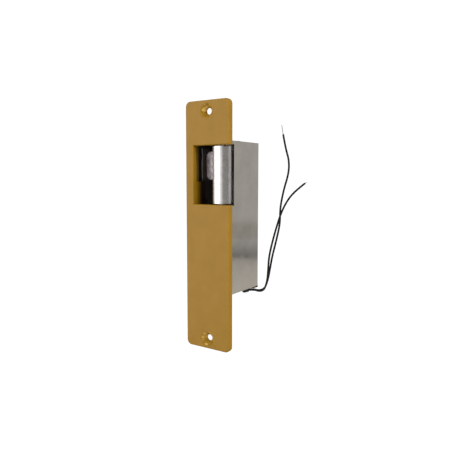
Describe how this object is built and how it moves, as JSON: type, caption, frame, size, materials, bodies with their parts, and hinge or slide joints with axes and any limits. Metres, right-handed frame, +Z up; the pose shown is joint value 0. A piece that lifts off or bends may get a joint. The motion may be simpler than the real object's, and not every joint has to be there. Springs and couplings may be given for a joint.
{
  "type": "electric door strike",
  "caption": "Electric door strike for a mortised frame: gold faceplate, chrome keeper, steel case with coil and lock lever, two black leads.",
  "frame": {"origin": "centre of the faceplate's front face, midway between its two fixing screws", "axes": "+Z up along the faceplate, +Y back into the door frame, +X towards the faceplate's open lip side"},
  "size_m": [0.0498, 0.066, 0.1492],
  "materials": {
    "gold_coat": "satin",
    "bright_steel": "satin",
    "pin_steel": "satin",
    "spring_steel": "polished",
    "chrome_casting": "satin",
    "coil_iron": "satin",
    "plated_screw": "satin",
    "black_screw": "matte",
    "brass": "satin",
    "white_nylon": "matte",
    "copper_wire": "gloss",
    "coil_tape": "gloss",
    "tinned_copper": "satin",
    "black_board": "matte",
    "black_rubber": "matte",
    "black_vinyl": "satin"
  },
  "bodies": {
    "strike_body": {"faceplate": "gold_coat", "case": "bright_steel", "top_cap": "bright_steel", "bottom_cap": "bright_steel", "fibre_plate": "black_board", "fibre_rivets": "pin_steel", "grommet": "black_rubber", "inner_leads": "black_vinyl", "keeper_pin": "pin_steel", "keeper_washer": "white_nylon", "keeper_spring": "spring_steel", "keeper_stop": "pin_steel", "stop_screw": "black_screw", "mechanism_frame": "bright_steel", "lever_pin": "pin_steel", "lever_spring": "spring_steel", "yoke": "coil_iron", "core": "coil_iron", "core_shim": "brass", "bobbin": "white_nylon", "winding": "copper_wire", "coil_wrap": "coil_tape", "terminals": "tinned_copper", "armature_pin": "pin_steel", "armature_spring": "spring_steel", "latch_stop": "pin_steel", "latch_buffer": "black_rubber", "case_screws": "plated_screw", "stop_plate_screws": "plated_screw", "back_screws": "plated_screw", "cap_screw": "plated_screw", "lead_a": "black_vinyl", "lead_b": "black_vinyl", "lead_a_tip": "tinned_copper", "lead_b_tip": "tinned_copper"},
    "keeper": {"keeper": "chrome_casting", "keeper_cam": "pin_steel"},
    "lock_lever": {"lock_lever": "pin_steel"},
    "armature": {"armature": "coil_iron"}
  },
  "joints": [
    {"name": "keeper_swing", "type": "hinge", "parent": "strike_body", "child": "keeper", "pos_m": [0.0068, 0.0062, 0.03], "axis": [0, 0, 1], "range_deg": [0, 50], "stiffness_Nm_per_rad": 0.02, "springref_deg": -20.05, "deforming": ["keeper_spring"]},
    {"name": "lever_swing", "type": "hinge", "parent": "strike_body", "child": "lock_lever", "pos_m": [-0.0076, 0.0264, 0.0096], "axis": [0, 0, 1], "range_deg": [-22.5, 0], "stiffness_Nm_per_rad": 0.01, "springref_deg": 20.05, "deforming": ["lever_spring"]},
    {"name": "armature_tilt", "type": "hinge", "parent": "strike_body", "child": "armature", "pos_m": [0.0004, 0.0274, -0.0068], "axis": [1, 0, 0], "range_deg": [0, 5], "stiffness_Nm_per_rad": 0.05, "springref_deg": -11.46, "deforming": ["armature_spring"]}
  ],
  "couplings": [
    {"joint": "lever_swing", "follows": "keeper_swing", "ratio": -0.45},
    {"joint": "armature_tilt", "follows": "keeper_swing", "ratio": 0.1}
  ]
}
